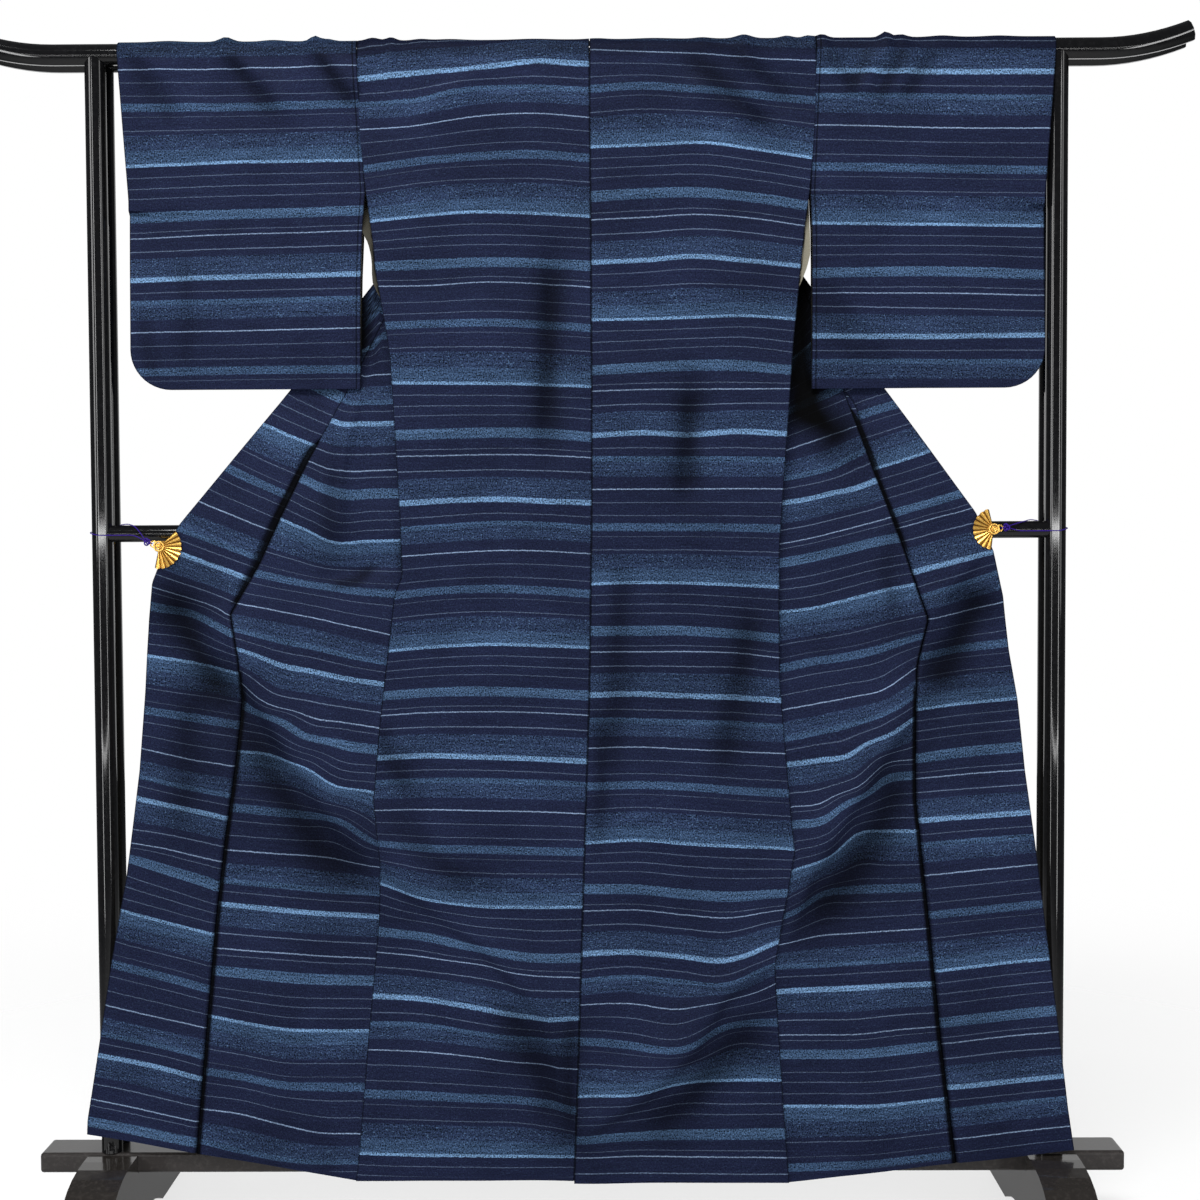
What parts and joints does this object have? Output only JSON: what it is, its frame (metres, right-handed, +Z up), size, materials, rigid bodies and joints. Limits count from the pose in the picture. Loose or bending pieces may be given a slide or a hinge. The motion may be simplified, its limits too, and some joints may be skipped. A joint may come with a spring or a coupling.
{
  "type": "kimono hung on a kimono stand",
  "caption": "Striped kimono hung by its sleeves over the bar of a free-standing lacquered stand, its fronts drawn out sideways by fan clips.",
  "frame": {"origin": "on the floor under the middle of the stand, halfway between its front and rear frames", "axes": "+X to the viewer's right, +Y away from the viewer, +Z up; the viewer sees the garment's back"},
  "size_m": [1.7554, 0.464, 1.7395],
  "materials": {
    "tsumugi": "matt indigo silk with horizontal weft stripes",
    "lacquer": "glossy black lacquer",
    "satin": "satin black lacquer",
    "gold": "polished gold plate",
    "cord": "purple twisted silk cord"
  },
  "bodies": {
    "root": {"body_left": "tsumugi", "body_right": "tsumugi", "sleeve_left": "tsumugi", "sleeve_right": "tsumugi", "okumi_left": "tsumugi", "okumi_right": "tsumugi", "collar": "tsumugi", "front_bar": "lacquer", "rear_bar": "lacquer", "front_upright_left": "lacquer", "front_upright_right": "lacquer", "rear_upright_left": "lacquer", "rear_upright_right": "lacquer", "crossbar": "lacquer", "rail": "satin", "foot_left": "lacquer", "foot_right": "lacquer", "fan_clip_left": "gold", "fan_clip_right": "gold", "purple_cord_left": "cord", "purple_cord_right": "cord"}
  },
  "joints": []
}
